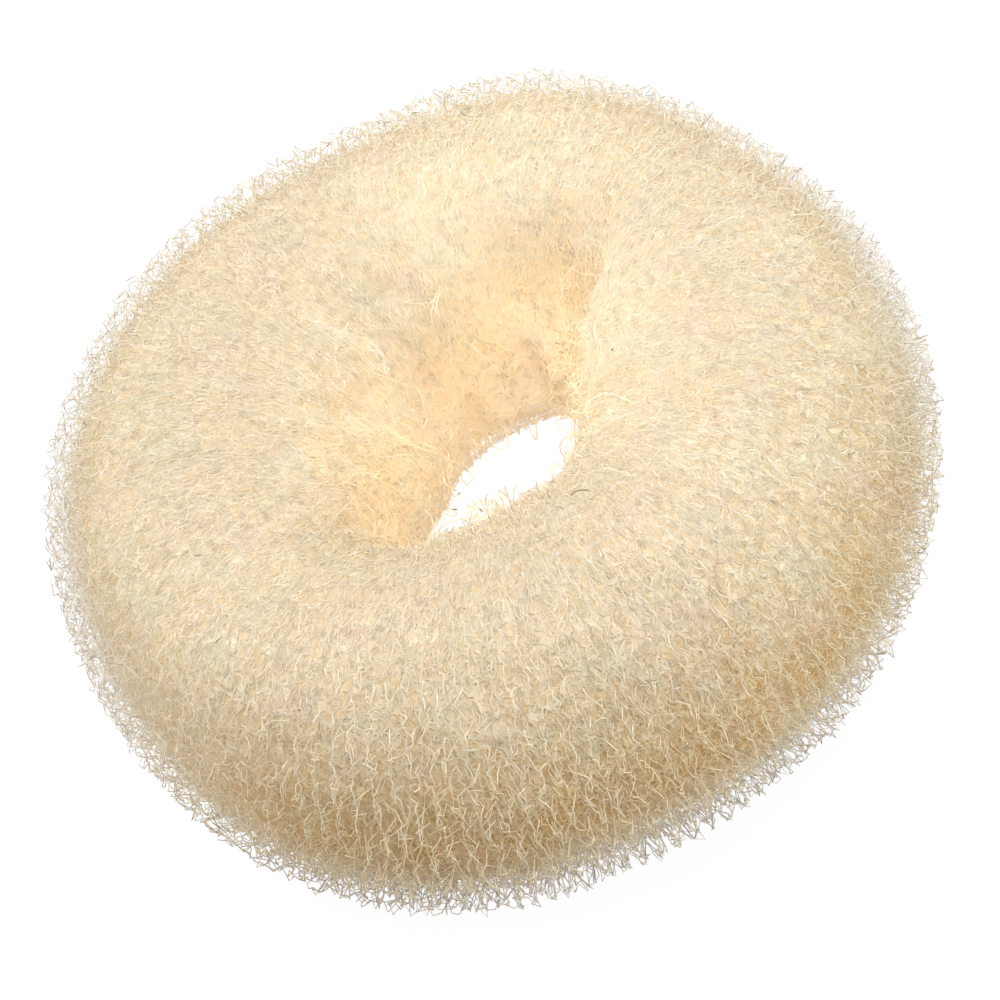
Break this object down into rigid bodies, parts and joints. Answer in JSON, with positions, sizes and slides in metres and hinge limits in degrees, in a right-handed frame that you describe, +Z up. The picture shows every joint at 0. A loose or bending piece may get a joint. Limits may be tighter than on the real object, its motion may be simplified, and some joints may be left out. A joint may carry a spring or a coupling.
{
  "type": "hair donut bun maker",
  "caption": "Soft ring of rolled cream net. A ponytail is drawn up through its hole, and the hair is wound over the ring and tucked under it to make a round bun.",
  "frame": {"origin": "on the table, under the middle of the ring's outline", "axes": "+Z up through the hair hole, +X to the right and +Y away from the camera in the picture, before the picture's tilt"},
  "size_m": [0.09, 0.0878, 0.036],
  "materials": {
    "nylon_net": "open knitted nylon net in cream, rolled in many turns"
  },
  "bodies": {
    "root": {"rolled_net": "nylon_net"}
  },
  "joints": []
}
